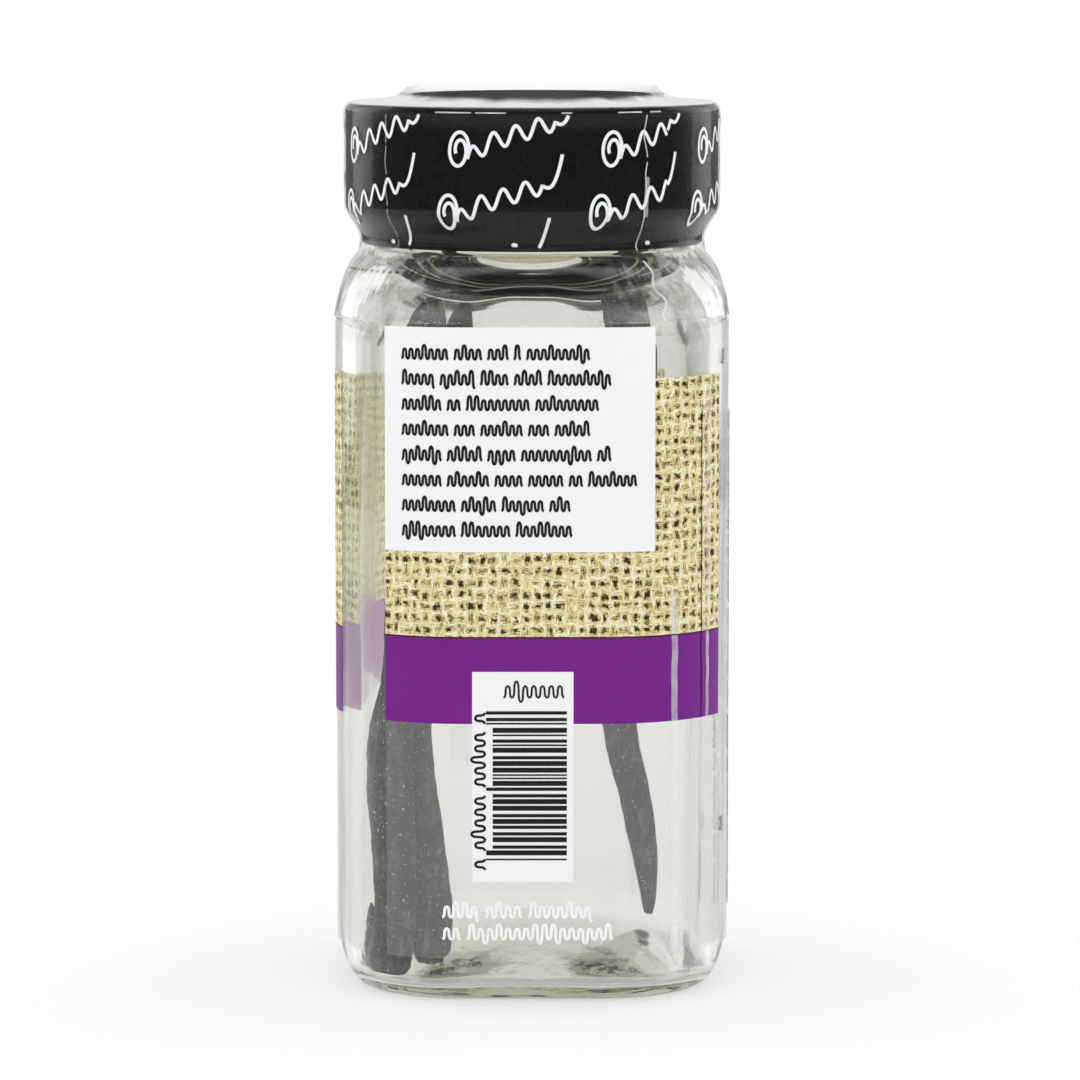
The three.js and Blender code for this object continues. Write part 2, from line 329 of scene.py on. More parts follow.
class Look(Nodes):
    """The nodes of a new material."""

    def __init__(self, name):
        self.material = bpy.data.materials.new(name)
        self.material.use_nodes = True
        super().__init__(self.material.node_tree)
        self.tree.nodes.clear()
        self.output = self.tree.nodes.new("ShaderNodeOutputMaterial")

    def surface(self, shader, volume=None):
        self.tree.links.new(shader, self.output.inputs["Surface"])
        if volume:
            self.tree.links.new(volume, self.output.inputs["Volume"])
        return self.material


def linear(levels):
    """Scene colour of an 8-bit screen colour."""
    shares = [level / 255 for level in levels]
    return tuple(c / 12.92 if c <= 0.04 else ((c + 0.055) / 1.055) ** 2.4 for c in shares)


def glass_look():
    """Clear glass, faintly green in its depth, wavy all over and mottled in the thick base."""
    look = Look("jar_glass")
    place = look.place()
    height = look.node("SeparateXYZ", Vector=place).outputs[2]
    ripple = look.noise(90.0, 2.0, place)
    seeds = look.noise(520.0, 3.0, place)
    in_base = look.span(height, 4.0 * MM, 9.0 * MM, 0.7, 0.0)
    relief = look.maths("MULTIPLY_ADD", seeds, in_base, ripple)
    shader = look.first(
        "BsdfPrincipled",
        Base_Color=(1.0, 1.0, 1.0, 1.0),
        Roughness=0.0,
        IOR=1.5,
        Transmission_Weight=1.0,
        Normal=look.bump(relief, 0.12, 0.0004),
    )
    tint = look.first("VolumeAbsorption", Color=(0.83, 0.85, 0.76, 1.0), Density=84.0)
    return look.surface(shader, tint)


def film_shader(look, haze_and_painted_sheen, gloss, rough, normal):
    """Clear film: seen through, and glossier and whiter where it is seen at a low angle. The white
    that a low angle adds is a painted grazing reflection. Both faces of the thin sheet act alike,
    so that no light is caught in it. haze_and_painted_sheen and gloss are the shares of white and
    of mirror that are seen square on, and what a low angle adds to them."""
    shine = look.first("BsdfGlossy", Color=(1, 1, 1, 1), Roughness=rough, Normal=normal)
    clear = look.first("BsdfTransparent", Color=(0.992, 0.993, 0.992, 1))
    passing = look.first("BsdfTranslucent", Color=(0.9, 0.91, 0.91, 1))
    scattering = look.first("BsdfDiffuse", Color=(0.94, 0.95, 0.95, 1))
    white = look.blend(0.5, passing, scattering)
    low = look.maths("POWER", look.node("LayerWeight", Blend=0.5).outputs["Facing"], 4.0)
    # Painted reflection: the white that a low angle adds stands in for the film's grazing
    # reflection of the bright room.
    veil = look.blend(look.maths("MULTIPLY_ADD", low, haze_and_painted_sheen[1], haze_and_painted_sheen[0]), clear, white)
    return look.blend(look.maths("MULTIPLY_ADD", low, gloss[1], gloss[0]), veil, shine)


def film_look(name, haze_and_painted_sheen, gloss, rough):
    look = Look(name)
    creases = look.bump(look.noise(260.0, 3.0, look.place()), 0.2, 0.0002)
    return look.surface(film_shader(look, haze_and_painted_sheen, gloss, rough, creases))


def band_look():
    """Shrink film. It is smooth and clear on the cap, and whiter on the loose flap over the cap's
    rim, where the white is partly haze and partly a painted highlight. At the sides of the glass
    shoulder it is full of folds, with white streaks painted on them as highlights."""
    look = Look("shrink_clear")
    place = look.place()
    across, deep, height = look.node("SeparateXYZ", Vector=place).outputs

    def above(low, high):
        return look.span(height, low * MM, high * MM)

    on_flap = look.minus(above(CAP_RIM, CAP_RIM + 0.2), above(FLAP_CLEAR, FLAP_CLEAR + 0.4))
    on_glass = look.minus(1.0, above(CAP_BOTTOM - 0.6, CAP_BOTTOM + 0.2))
    on_side = look.times(on_glass, look.span(look.maths("ABSOLUTE", across), 8.0 * MM, 18.0 * MM))

    about_radius = 22.0 * MM
    turn = look.times(look.maths("ARCTAN2", deep, across), about_radius)
    drawn = look.first("CombineXYZ", X=turn, Y=look.times(height, 0.3))
    folds = look.noise(260.0, 3.0, drawn, 0.55)
    flecks = look.noise(520.0, 4.0, look.stretched(drawn, 1.0, 2.2, 1.0), 0.6)
    streaks = look.ramp(flecks, (0.53, 0.0), (0.6, 1.0))

    # Painted highlights: the white on the flap is partly haze and partly a painted highlight, and
    # the white streaks on the shoulder's sides are painted highlights.
    flap_haze_and_highlight = look.times(on_flap, look.maths("MULTIPLY_ADD", folds, 0.9, -0.33))
    painted_streak_highlights = look.times(on_side, look.times(streaks, 0.4))
    haze_and_painted_sheen = look.plus(look.plus(flap_haze_and_highlight, painted_streak_highlights), 0.003)
    # Painted reflection: white that a low angle adds, most on the flap.
    low_angle_painted_sheen = look.maths("MULTIPLY_ADD", on_flap, 1.8, 0.14)
    gloss = look.maths("MULTIPLY_ADD", on_glass, 0.022, 0.008)
    gloss = look.maths("MULTIPLY_ADD", on_side, 0.14, gloss)
    smooth, folded = look.bump(folds, 0.1, 0.0002), look.bump(folds, 0.5, 0.0008)
    normal = look.pick(on_glass, smooth, folded, "VECTOR")
    return look.surface(film_shader(look, (haze_and_painted_sheen, low_angle_painted_sheen), (gloss, 0.15), 0.08, normal))


def veil_look(name, tone, share):
    """Fold, scuff, painted highlight or painted shade on clear film, which hides a share of what is
    behind it.
    """
    look = Look(name)
    uneven = look.ramp(look.noise(500.0, 3.0, look.place()), (0.3, share * 0.5), (0.65, share))
    clear = look.first("BsdfTransparent", Color=(1, 1, 1, 1))
    return look.surface(look.blend(uneven, clear, look.first("BsdfDiffuse", Color=(*tone, 1))))


def cap_look():
    """Black gloss plastic, with a matt disc."""
    look = Look("cap_black")
    place = look.place()
    height = look.node("SeparateXYZ", Vector=place).outputs[2]
    grain = look.noise(900.0, 2.0, place)
    on_disc = look.maths("GREATER_THAN", height, (DISC_TOP - 0.04) * MM)
    black = look.ramp(look.noise(60.0, 2.0, place), (0.3, 0.002), (0.7, 0.004))
    matt = look.ramp(grain, (0.35, 0.02), (0.65, 0.032))
    shader = look.first(
        "BsdfPrincipled",
        Base_Color=look.pick(on_disc, black, matt),
        Roughness=look.span(grain, 0.3, 0.7, 0.26, 0.3),
        Specular_IOR_Level=look.maths("MULTIPLY_ADD", on_disc, -0.09, 0.09),
    )
    return look.surface(shader)


def thin_print(look, colour, through, glow, **coat):
    """Ink on clear film: gloss over a colour, which lets part of the light from behind through.
    glow is painted light: an emission that stands in for light that spreads inside the thin white
    ink. coat is how the gloss is."""
    front = look.first("BsdfPrincipled", Base_Color=colour, Specular_IOR_Level=0.25, **coat)
    pale = look.first("Gamma", Color=colour, Gamma=0.5)
    both = look.blend(through, front, look.first("BsdfTranslucent", Color=pale))
    if not glow:
        return both
    # Painted light: an emission in place of light that spreads inside the ink.
    return look.first("AddShader", i0=both, i1=look.first("Emission", Color=colour, Strength=glow))


def print_look(name, colour, rough, variation, through=0.45, glow=0.0):
    """Flat printed colour with a faint mottle. colour is as a screen shows it."""
    look = Look(name)
    colour = linear(colour)
    mottle = look.noise(420.0, 3.0, look.place())
    tone = look.ramp(mottle, (0.3, tuple(c * (1 - variation) for c in colour)), (0.7, colour))
    normal = look.bump(mottle, 0.05, 0.0001)
    return look.surface(thin_print(look, tone, through, glow, Roughness=rough, Normal=normal))


def weave_look(name, colours, hole_share, through=0.45, glow=0.0):
    """Printed burlap: a plain weave whose threads vary in width and tone along their way, with
    dark gaps between them. colours are those of the gaps and of dark, middle and light thread.
    They are as a screen shows them. The mesh's UV map holds millimetres."""
    look = Look(name)
    uv = look.node("TexCoord").outputs["UV"]
    hole, thread_dark, thread_middle, thread_light = map(linear, colours)

    def vector(operation, a, **b):
        return look.first("VectorMath", {"operation": operation}, i0=a, **b)

    def drift(scale, amount):
        field = look.node("TexNoise", Vector=uv, Scale=scale, Detail=2.0).outputs["Color"]
        return vector("SCALE", vector("SUBTRACT", field, i1=(0.5, 0.5, 0.5)), Scale=amount)

    def drawn_out(x, y, scale, detail=3.0):
        """Noise drawn out along the threads of one direction."""
        return look.noise(scale, detail, look.stretched(uv, x, y, 1.0), 0.6)

    def gap(way, thickness):
        """How far a point is out of the thread: 0 on its middle, 1 halfway to the next."""
        wave = look.maths("ABSOLUTE", look.maths("SINE", look.times(way, math.pi)))
        return look.plus(wave, look.swing(thickness, 1.5))

    place = vector("ADD", vector("ADD", uv, i1=drift(0.28, 1.3)), i1=drift(1.7, 0.6))
    across, up, _ = look.node("SeparateXYZ", Vector=place).outputs
    warp = look.maths("DIVIDE", across, THREAD_PITCH[0])
    weft = look.maths("DIVIDE", up, THREAD_PITCH[1])
    warp_gap = gap(warp, drawn_out(1.1, 0.35, 1.0))
    weft_gap = gap(weft, drawn_out(0.35, 1.1, 1.0))
    ragged = look.swing(look.noise(1.9, 4.0, uv, 0.75), 1.5)
    crowd = look.swing(look.noise(0.33, 2.0, uv), 0.9)
    level = look.plus(look.plus(look.maths("MINIMUM", warp_gap, weft_gap), ragged), crowd)
    holes = look.ramp(look.minus(level, hole_share), (0.42, 0.0), (0.66, 1.0))

    crossing = look.plus(look.maths("FLOOR", warp), look.maths("FLOOR", weft))
    warp_on_top = look.maths("GREATER_THAN", look.maths("FRACT", look.times(crossing, 0.5)), 0.25)
    fibres = drawn_out(1.4, 7.0, 0.9, 5.0), drawn_out(7.0, 1.4, 0.9, 5.0)
    fibre = look.pick(warp_on_top, *fibres, "FLOAT")
    side = look.pick(warp_on_top, weft_gap, warp_gap, "FLOAT")
    tone = look.plus(look.times(fibre, 1.3), look.times(look.noise(0.7, 2.0, uv), 0.4))
    thread = look.ramp(
        look.minus(tone, look.times(side, 0.22)),
        (0.46, tuple(c * 0.3 for c in thread_dark)),
        (0.57, thread_dark),
        (0.66, thread_middle),
        (0.76, thread_middle),
        (0.86, thread_light),
    )
    rosy, greenish = (1.0, 0.86, 0.82), (0.9, 1.0, 0.88)
    hue = look.ramp(look.noise(1.5, 2.0, uv), (0.3, rosy), (0.45, 1.0), (0.7, greenish))
    thread = look.pick(1.0, thread, hue, blend="MULTIPLY")
    colour = look.pick(holes, thread, (*hole, 1))
    return look.surface(thin_print(look, colour, through, glow, Roughness=0.45))


def pod_look():
    """Dry, oily-dark pod skin with fine lengthwise wrinkles and specks of pale crystals."""
    look = Look("pod_skin")
    place = look.place()
    wrinkle = look.noise(1500.0, 5.0, look.stretched(place, 1.0, 1.0, 0.16), 0.6)
    grain = look.noise(1900.0, 3.0, place, 0.7)
    mottle = look.times(look.plus(wrinkle, grain), 0.5)
    patch = look.noise(240.0, 3.0, place)
    skin_tone = look.ramp(
        look.plus(look.times(mottle, 0.7), look.times(patch, 0.3)),
        (0.4, 0.002),
        (0.5, (0.014, 0.0135, 0.013)),
        (0.6, (0.12, 0.115, 0.11)),
    )
    crystal = look.ramp(look.noise(2900.0, 1.0, place), (0.695, 0.0), (0.725, 1.0))
    shader = look.first(
        "BsdfPrincipled",
        Base_Color=look.pick(crystal, skin_tone, (0.55, 0.55, 0.55, 1)),
        Roughness=0.5,
        Normal=look.bump(wrinkle, 0.5, 0.0006),
    )
    return look.surface(shader)


# ---------------------------------------------------------------- jar, cap and film


def inner_ring(z):
    """The inner wall's corners get a little rounder towards the shoulder."""
    share = min(1.0, max(0.0, (z - ROUNDER_START) / (LEAN_START - ROUNDER_START))) ** 2
    return ring(BODY_HALF - WALL, z, mix(BODY_CORNER - WALL, ROUNDEST, share))


def inner_shoulder():
    """Rings from the bore down to the straight inner wall."""
    lean = bend(inner_ring(LEAN_START), ring(NECK_BORE + 0.6, LEAN_END), True, 28)
    return [ring(NECK_BORE, LEAN_END + 1.8), ring(NECK_BORE + 0.2, LEAN_END + 0.7), *reversed(lean)]


def build_jar(material):
    foot = ring(BODY_HALF - HEEL_INSET, 0.0, BODY_CORNER - HEEL_INSET)
    floor_edge = ring(19.2, FLOOR_EDGE, 11.5)
    ring_width = 1.8
    lip = 0.5
    outside = [
        ring(4, PUSH_UP - 0.08),
        ring(8, PUSH_UP - 0.3),
        ring(13, PUSH_UP * 0.55, 10),
        ring(foot[0] - ring_width - 0.8, 0.35, foot[1] - ring_width),
        ring(foot[0] - ring_width, 0, foot[1] - ring_width),
        *bend(foot, body_ring(HEEL_HEIGHT), False),
        *[body_ring(z) for z in range(12, 76, 6)],
        *shoulder(),
        ring(NECK_RADIUS, SHOULDER_TOP + 0.3),
        ring(NECK_RADIUS, NECK_TOP - lip),
        ring(NECK_RADIUS - lip, NECK_TOP),
    ]
    inside = [
        ring(NECK_BORE + lip, NECK_TOP),
        ring(NECK_BORE, NECK_TOP - lip),
        *inner_shoulder(),
        *[inner_ring(z) for z in range(74, 6, -2)],
        *bend(body_ring(FLOOR_EDGE + FLOOR_FILLET, -WALL), floor_edge, True, 8),
        *[ring(half, FLOOR_EDGE, min(half, 11.2)) for half in FLOOR_RINGS],
    ]
    points, faces = loft([*outside, *inside], (PUSH_UP, FLOOR_DOME))
    noise.seed_set(WAVE_SEED)
    under = len(points) - 2
    for i in range(len(outside) * AROUND, len(points)):
        if i != under:
            points[i] = uneven_inside(points[i])
    piece = new_piece("jar_glass_body", points, faces, [material])
    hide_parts("glass_jar")


def uneven_inside(point):
    """The inner floor is a dome, and moulded glass is a little wavy on its inner side, most in
    the floor."""
    x, y, z = point
    if z < HEEL_HEIGHT:
        share = 1 - (math.hypot(x, y) / FLOOR_ROUND) ** 2
        z = max(z, mix(FLOOR_EDGE, FLOOR_DOME, share))
    if z > SHOULDER_TOP:
        return point
    amount = mix(FLOOR_WAVE, WALL_WAVE, min(1.0, z / 14))
    sway = noise.noise_vector(Vector((x, y, z * 0.45)) / WAVE_LENGTH) * amount
    return x + sway.x, y + sway.y, z + sway.z


def cap_edge(radius, top, rounding, steps=8):
    return bend(ring(radius, top - rounding), ring(radius - rounding, top), True, steps)


def cap_rings(offset=0.0):
    """Outside of the cap from its skirt up to its rounded rim, or of a film that lies over it."""
    skirt, wide = SKIRT_RADIUS + offset, CAP_RADIUS + offset
    return [
        ring(skirt, TAPER_START - 0.3),
        ring(skirt + 0.06, TAPER_START + 0.2),
        ring(skirt + 0.5, TAPER_START + 1.1),
        ring(mix(skirt + 0.5, wide - 0.4, 0.5), mix(TAPER_START + 1.1, TAPER_END - 0.8, 0.5)),
        ring(wide - 0.4, TAPER_END - 0.8),
        ring(wide - 0.07, TAPER_END - 0.2),
        ring(wide, TAPER_END + 0.4),
        ring(wide, CAP_RIM - 4),
        *cap_edge(wide, CAP_RIM + offset, CAP_EDGE + offset),
    ]


def build_cap(material):
    inner_top = NECK_TOP + 0.5
    inner_wide = CAP_RADIUS - CAP_WALL
    rings = [
        ring(6, inner_top),
        ring(inner_wide, inner_top),
        ring(inner_wide, TAPER_END + 1.6),
        ring(CAP_BORE, TAPER_START + 1.4),
        ring(CAP_BORE, CAP_BOTTOM),
        ring(SKIRT_RADIUS - 0.2, CAP_BOTTOM),
        ring(SKIRT_RADIUS, CAP_BOTTOM + 0.2),
        *cap_rings(),
        ring(DISC_RADIUS + 0.3, CAP_RIM),
        ring(DISC_RADIUS, CAP_RIM + 0.3),
        ring(DISC_RADIUS, DISC_TOP - 0.2),
        ring(DISC_RADIUS - 0.06, DISC_TOP - 0.06),
        ring(DISC_RADIUS - 0.2, DISC_TOP),
        ring(8, DISC_TOP),
    ]
    points, faces = loft(rings, (inner_top, DISC_TOP))
    piece = new_piece("cap_shell", points, faces, [material])
    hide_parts("cap")


def band_rings(offset):
    skirt = SKIRT_RADIUS + offset
    on_glass = [r for r in shoulder(offset) if r[2] > BAND_END + 0.1 and r[0] > skirt + 0.1]
    flap = CAP_RIM + offset
    return [
        ring(BODY_HALF + offset - 0.03, BAND_END, BODY_CORNER + offset),
        *on_glass,
        ring(skirt + 0.05, CAP_BOTTOM + 0.35),
        *cap_rings(offset),
        ring(20.2, flap + 0.03),
        ring(18.8, flap + 0.12),
        ring(17.4, flap + 0.3),
        ring(16.3, flap + 0.62),
        ring(15.5, flap + 1.05),
        ring(DISC_RADIUS + 0.45 + offset, BAND_LIP - 0.1),
        ring(DISC_RADIUS + 0.3 + offset, BAND_LIP + 0.08),
    ]


def build_band(material):
    inside, outside = band_rings(BAND_GAP), band_rings(BAND_GAP + BAND_THICKNESS)
    points, faces = loft([*outside, *reversed(inside)])
    points = [wrinkled_film(p) for p in points]
    piece = new_piece("shrink_film", points, faces, [material])
    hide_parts("shrink_band")


def wrinkled_film(point):
    """The band is drawn tight on the cap, puckers on the flap over its rim, and ripples on the
    glass shoulder. Both of its faces move alike."""
    x, y, z = point
    turn = math.atan2(y, x)
    away = math.hypot(x, y)
    if z > CAP_RIM - 0.2 and away < CAP_RADIUS - 0.9:
        share = min(1.0, (CAP_RADIUS - 0.9 - away) / 3)
        pucker = noise.noise(Vector((math.cos(turn) * 5, math.sin(turn) * 5, away * 0.3)))
        return x, y, z + abs(pucker) * 0.28 * share
    if z < CAP_BOTTOM:
        ripple = noise.noise(Vector((math.cos(turn) * 9, math.sin(turn) * 9, z * 0.25)))
        push = 1 + abs(ripple) * 0.010 * min(1.0, (CAP_BOTTOM - z) / 2)
        return x * push, y * push, z
    return point


# ---------------------------------------------------------------- label


def skin(columns, rows, gap, thickness, kept=None):
    """Thin closed sheet bent round the body. Its UV map holds millimetres, and its inner face has
    material slot 1."""
    points, uvs, faces, slots = [], [], [], []
    for offset in (gap, gap + thickness):
        half, corner = BODY_HALF + offset, BODY_CORNER + offset
        for z in rows:
            for way in columns:
                points.append((*loop_point(way / BODY_ROUND, half, corner), z))
                uvs.append((way, z))
    layer = len(rows) * len(columns)

    def at(row, column, side):
        return side * layer + row * len(columns) + column

    def is_kept(row, column):
        if not (0 <= row < len(rows) - 1 and 0 <= column < len(columns) - 1):
            return False
        middle = (columns[column] + columns[column + 1]) / 2, (rows[row] + rows[row + 1]) / 2
        return kept is None or kept(*middle)

    def quad(a, b, c, d, slot=0):
        faces.append((a, b, c, d))
        slots.append(slot)

    def wall(r0, c0, r1, c1):
        quad(at(r0, c0, 0), at(r1, c1, 0), at(r1, c1, 1), at(r0, c0, 1))

    for r in range(len(rows) - 1):
        for c in range(len(columns) - 1):
            if not is_kept(r, c):
                continue
            quad(at(r, c, 1), at(r, c + 1, 1), at(r + 1, c + 1, 1), at(r + 1, c, 1))
            quad(at(r, c, 0), at(r + 1, c, 0), at(r + 1, c + 1, 0), at(r, c + 1, 0), 1)
            if not is_kept(r - 1, c):
                wall(r, c, r, c + 1)
            if not is_kept(r + 1, c):
                wall(r + 1, c + 1, r + 1, c)
            if not is_kept(r, c - 1):
                wall(r + 1, c, r, c)
            if not is_kept(r, c + 1):
                wall(r, c + 1, r + 1, c + 1)
    return used_only(points, uvs, faces, slots)


def used_only(points, uvs, faces, slots):
    """Drops the points that no face uses."""
    used = sorted({i for face in faces for i in face})
    place = {old: new for new, old in enumerate(used)}
    faces = [tuple(place[i] for i in face) for face in faces]
    return [points[i] for i in used], [uvs[i] for i in used], faces, slots


def steps_between(*edges, step=0.8):
    """Ways round the body through all of these edges, with about a step between neighbours."""
    ways = [edges[0]]
    for start, end in zip(edges, edges[1:]):
        count = max(1, round((end - start) / step))
        ways += [mix(start, end, (i + 1) / count) for i in range(count)]
    return ways


def label_piece(name, node, kind, looks, columns, rows, kept=None):
    gap = LABEL_GAP + LABEL_THICKNESS + PRINT_GAP
    points, uvs, faces, slots = skin(columns, rows, gap, PRINT_THICKNESS, kept)
    inks = [looks[kind], looks[kind + "_reverse"]]
    piece = new_piece(name, points, faces, inks, True, uvs, slots)
    keep_edges_sharp(piece)
    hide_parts(node)


def keep_edges_sharp(piece):
    """Marks the hard edges of a thin sheet, so that its smooth faces don't shade round them."""
    piece.data.set_sharp_from_angle(angle=math.radians(40))


def build_label(looks):
    film_columns = steps_between(LABEL_START, LABEL_END)
    ends = [LABEL_BOTTOM, LABEL_TOP]
    points, uvs, faces, slots = skin(film_columns, ends, LABEL_GAP, LABEL_THICKNESS)
    film = new_piece("label_clear_film", points, faces, [looks["film"]], True, uvs)
    keep_edges_sharp(film)
    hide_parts("label_film")
    joint = 0.03
    label_piece(
        "print_text_panel", "label_text_panel", "white", looks,
        steps_between(LABEL_START, PANEL_RIGHT), [PANEL_BOTTOM, LABEL_TOP],
    )
    label_piece(
        "print_barcode_panel", "label_barcode_panel", "white", looks,
        steps_between(CODE_LEFT, CODE_RIGHT), [CODE_BOTTOM, CODE_TOP],
    )
    label_piece(
        "print_weave_front", "label_weave_front", "weave", looks,
        steps_between(LABEL_START, PANEL_RIGHT + joint, FRONT_PRINT_END),
        [PURPLE_TOP + joint, PANEL_BOTTOM - joint, WEAVE_TOP],
        lambda way, z: z < PANEL_BOTTOM or way > PANEL_RIGHT,
    )
    label_piece(
        "print_purple_front", "label_band_front", "purple", looks,
        steps_between(LABEL_START, CODE_LEFT - joint, CODE_RIGHT + joint, FRONT_PRINT_END),
        [PURPLE_BOTTOM, CODE_TOP + joint, PURPLE_TOP],
        lambda way, z: z > CODE_TOP or not CODE_LEFT - joint < way < CODE_RIGHT + joint,
    )
    back = steps_between(BACK_PRINT_START, LABEL_END)
    label_piece(
        "print_weave_back", "label_weave_back", "weave", looks, back,
        [PURPLE_TOP + joint, WEAVE_TOP],
    )
    label_piece(
        "print_purple_back", "label_band_back", "purple", looks, back,
        [PURPLE_BOTTOM, PURPLE_TOP],
    )


def ribbon(path, width, place, thickness=0.02):
    """Closed flat strip along a path of (way, height) points. place turns such a point and a
    height off the surface into a point of the row."""
    points, faces = [], []
    count = len(path)
    for i, (way, height) in enumerate(path):
        before, after = path[max(i - 1, 0)], path[min(i + 1, count - 1)]
        run, rise = after[0] - before[0], after[1] - before[1]
        length = math.hypot(run, rise) or 1.0
        side_way, side_height = -rise / length * width / 2, run / length * width / 2
        for off in (0.0, thickness):
            points.append(place(way - side_way, height - side_height, off))
            points.append(place(way + side_way, height + side_height, off))
    for i in range(count - 1):
        a, b = i * 4, i * 4 + 4
        faces += [(a + 2, b + 2, b + 3, a + 3), (a, a + 1, b + 1, b)]
        faces += [(a, b, b + 2, a + 2), (a + 1, a + 3, b + 3, b + 1)]
    last = (count - 1) * 4
    faces += [(0, 2, 3, 1), (last, last + 1, last + 3, last + 2)]
    return points, faces


def strips_piece(name, parts, material):
    """One flat-shaded piece from the points and faces of many strips."""
    points, faces = [], []
    for part_points, part_faces in parts:
        start = len(points)
        points += part_points
        faces += [tuple(i + start for i in face) for face in part_faces]
    new_piece(name, points, faces, [material], False)


def on_label(way, z, off=0.0):
    """A point on the printed fields, or that much above them."""
    offset = LABEL_GAP + LABEL_THICKNESS + PRINT_GAP + PRINT_THICKNESS + 0.01 + off
    return (*loop_point(way / BODY_ROUND, BODY_HALF + offset, BODY_CORNER + offset), z)


TEXT_LINES = [
    [7, 4, 3, 1, 9],
    [5, 5, 4, 4, 9],
    [6, 2, 9, 9],
    [7, 3, 6, 3, 5],
    [6, 5, 4, 10, 2],
    [6, 6, 4, 5, 2, 7],
    [8, 5, 6, 3],
    [8, 7, 8],
]


def scribble(start, z, letters, pitch, height, draw):
    """Round scrawl that stands for a word, with no letters in it. Some of its crests are tall."""
    path = []
    low, high = z, z + height
    for half in range(letters * 2):
        rising = half % 2 == 0
        target = high if rising else low
        if rising and draw.random() < 0.25:
            target += height * 0.42
        elif not rising and draw.random() < 0.1:
            target -= height * 0.38
        source = path[-1][1] if path else low
        for i in range(0 if half == 0 else 1, 9):
            share = i / 8
            ease = 0.5 - 0.5 * math.cos(share * math.pi)
            run = share + 0.9 * math.sin(share * 2 * math.pi) / (2 * math.pi)
            path.append((start + (half + run) * pitch / 2, mix(source, target, ease)))
    return path


def text_block(lines, start, first_line, line_pitch, letter, height, stroke, place, seed):
    """Strips for lines of scrawled words, each given by its numbers of letters."""
    draw = random.Random(seed)
    parts = []
    for row, words in enumerate(lines):
        way = start
        for letters in words:
            path = scribble(way, first_line - row * line_pitch, letters, letter, height, draw)
            parts.append(ribbon(path, stroke, place))
            way += (letters + 0.75) * letter
    return parts


def text_line(words, letter, height, stroke, place, seed, start=0.0, z=0.0):
    return text_block([words], start, z, 0.0, letter, height, stroke, place, seed)


def upright(place, way, z):
    """The same row as place, but turned to run up the jar from a point."""
    return lambda along, across, off=0.0: place(way - across, z + along, off)


def build_text(material):
    lines = text_block(
        TEXT_LINES, start=-15.25, first_line=75.7, line_pitch=2.935, letter=0.81, height=1.15,
        stroke=0.3, place=on_label, seed=5,
    )
    strips_piece("print_text_scrawl", lines, material)


def build_small_print(white, grey):
    """Two white lines low on the clear film, and a grey column round the corner from them."""
    foot = text_block(
        [[4, 4, 7], [2, 16]], start=-10.4, first_line=10.4, line_pitch=2.6, letter=1.05,
        height=1.25, stroke=0.34, place=on_label, seed=9,
    )
    strips_piece("print_foot_scrawl", foot, white)
    column = [7, 4, 9, 3, 6, 8, 2, 5, 7, 4, 9, 6, 3]
    first_way, row_pitch, column_foot, stroke = 30.7, 1.6, 9.5, 0.16
    side = []
    for row in range(4):
        words = column[row:] + column[:row]
        place = upright(on_label, first_way + row_pitch * row, column_foot)
        side += text_line(words, 0.72, 0.75, stroke, place, row)
    for z, seed in ((74.4, 3), (19.0, 4)):
        side += text_line([3], 0.6, 0.8, stroke, upright(on_label, 26.9, z), seed)
    strips_piece("print_side_scrawl", side, grey)


def bar(left, right, bottom, top, place, thickness=0.02):
    """Flat closed patch between two ways and two heights."""
    path = [(mix(left, right, i / 8), (bottom + top) / 2) for i in range(9)]
    return ribbon(path, top - bottom, place, thickness)


def build_barcode(material):
    """Bars of made-up widths, lying down, with longer ones at both ends and in the middle, and
    scrawl in place of the digits."""
    draw = random.Random(11)
    module = 0.195
    left, long_left, right = -4.55, -5.3, 4.0
    top, bottom = 34.7, 17.0
    parts = []
    z = top
    count = 0
    while z > bottom:
        thick = draw.choice([1, 1, 2, 2, 3, 3])
        is_long = count < 3 or z < bottom + 1.6 or abs(z - (top + bottom) / 2) < 0.5
        parts.append(bar(long_left if is_long else left, right, z - thick * module, z, on_label))
        z -= (thick + draw.choice([1, 1, 2, 2])) * module
        count += 1
    parts += text_line([7], 1.0, 1.35, 0.24, on_label, 2, start=-3.3, z=36.3)
    parts += text_line([1, 5, 5, 1], 1.3, 1.1, 0.3, upright(on_label, -5.45, 16.0), 6)
    strips_piece("print_bars", parts, material)


# ---------------------------------------------------------------- print on the band

FLOURISH_TURN = 46.5  # degrees round the cap from one flourish to the next
FLOURISH_START = -26.5
FLOURISH_ROW = 7.3
FLOURISH_ROW_SHIFT = -3.8
FLOURISH_FOOT = 98.0
FLOURISH_RISE = math.radians(17.5)
FLOURISH_STROKE = 0.4
OVERLAP_END = 44.4  # where the overlapping end of the film hides a strip of the pattern
OVERLAP_HIDDEN = 7.5


def on_band(turn, z, off=0.0):
    """A point on the film round the cap. turn is in millimetres round its widest part."""
    angle = turn / CAP_RADIUS
    radius = across_at(cap_rings(BAND_GAP + BAND_THICKNESS), z)[0] + 0.02 + off
    return radius * math.sin(angle), -radius * math.cos(angle), z


def flourish():
    """Scroll with a curl at its foot, a run of waves and a rising tail, lying along +X."""
    path = []
    for i in range(64):
        turn = math.radians(200 - i * 9.5)
        size = 0.35 + 0.65 * min(1, i / 40)
        path.append((1.9 + 1.25 * size * math.cos(turn), 1.1 + 2.0 * size * math.sin(turn)))
    start = path[-1]
    for i in range(1, 73):
        share = i / 72
        swing = math.sin(share * 4 * 2 * math.pi)
        middle = mix(start[1], 0.9, min(1, share * 4))
        path.append((mix(start[0], 13.6, share), middle + 0.95 * swing))
    start = path[-1]
    for i in range(1, 25):
        share = i / 24
        dip = 0.9 * math.sin(share * math.pi)
        path.append((start[0] + 2.6 * share, start[1] + 2.7 * share**2 - dip))
    return path


